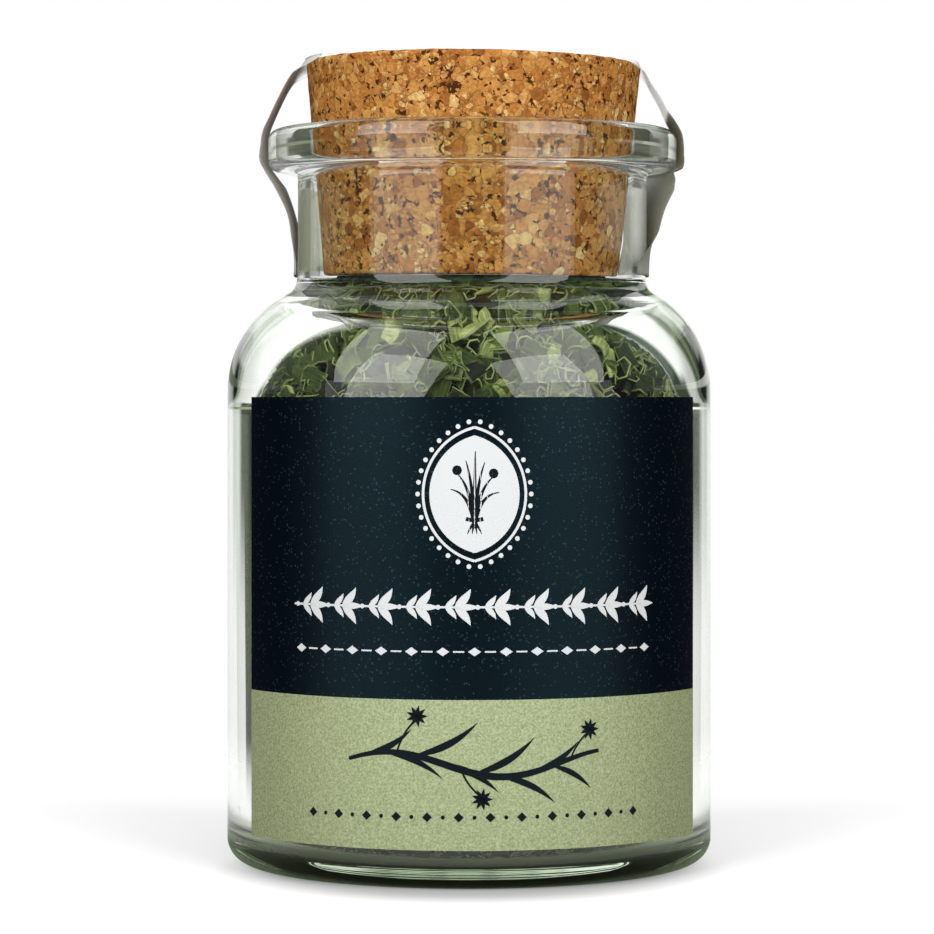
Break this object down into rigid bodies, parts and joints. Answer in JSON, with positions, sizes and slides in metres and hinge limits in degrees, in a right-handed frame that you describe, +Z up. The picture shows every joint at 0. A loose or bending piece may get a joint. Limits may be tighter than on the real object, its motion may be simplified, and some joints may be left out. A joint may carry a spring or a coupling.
{
  "type": "corked jar of dried chives",
  "caption": "Thick clear glass jar with a round shoulder and rolled lip, cork stopper, clear seal strip and front label, filled with dried cut chives.",
  "frame": {"origin": "centre of the ring that the jar stands on", "axes": "+Z up along the jar's axis, -Y out of the front label, +X to the label's right as it is read"},
  "size_m": [0.065, 0.0654, 0.1078],
  "materials": {
    "clear_glass": "gloss",
    "pressed_cork": "matte",
    "clear_film": "satin",
    "label_paper": "satin",
    "dried_leaf": "matte"
  },
  "bodies": {
    "root": {"glass_jar": "clear_glass", "cork_stopper": "pressed_cork", "seal_strip": "clear_film", "front_label": "label_paper", "dried_chives": "dried_leaf"}
  },
  "joints": []
}
